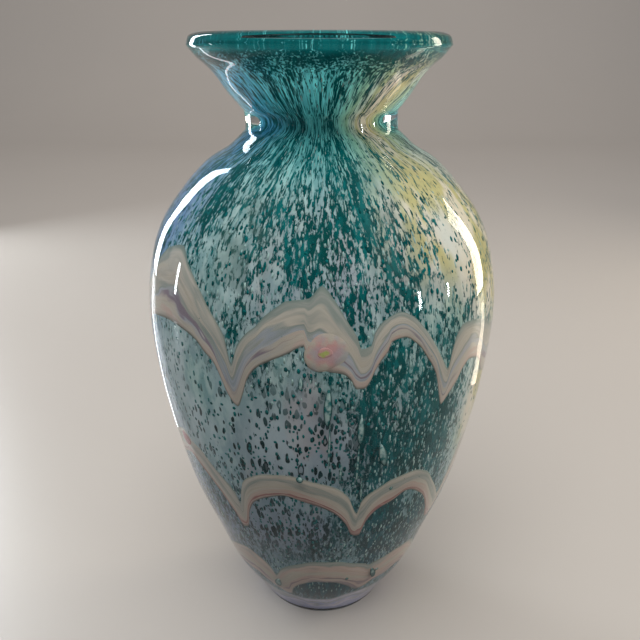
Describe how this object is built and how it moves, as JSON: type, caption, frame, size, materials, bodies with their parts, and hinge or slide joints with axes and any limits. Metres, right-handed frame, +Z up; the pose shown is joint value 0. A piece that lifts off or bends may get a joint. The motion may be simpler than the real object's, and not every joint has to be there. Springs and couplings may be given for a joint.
{
  "type": "art glass vase",
  "caption": "Blown glass vase with a flared rolled lip, narrow neck, wide shoulder and small foot; combed trails over teal frit under a clear casing.",
  "frame": {"origin": "centre of the foot, on the plane that the vase stands on", "axes": "+Z up the vase's axis, -Y towards the front, where the pink bit is, +X to the right seen from the front"},
  "size_m": [0.144, 0.144, 0.254],
  "materials": {
    "clear_glass": "fire polished clear glass with a faint fumed lustre, blue to the left and gold to the right",
    "core_glass": "smooth clear blown glass",
    "teal_frit": "opaque teal frit chips melted in, drawn long at the neck",
    "pale_opal": "opaque aqua and lilac opal",
    "cream_trail": "opaque cream and grey green glass streaked along its length",
    "blush_trail": "opaque beige pink glass streaked along its length",
    "lilac_wrap": "opaque lilac glass with blue streaks",
    "pink_glass": "opaque dusty pink glass",
    "green_glass": "opaque yellow green glass",
    "crimson_glass": "opaque deep crimson glass"
  },
  "bodies": {
    "root": {"clear_casing": "clear_glass", "core_gather": "core_glass", "frit_coat": "teal_frit", "opal_coat": "pale_opal", "upper_trail": "cream_trail", "middle_trail": "cream_trail", "lower_trail": "blush_trail", "base_wrap": "lilac_wrap", "pink_bit": "pink_glass", "green_eye": "green_glass", "crimson_bit": "crimson_glass"}
  },
  "joints": []
}
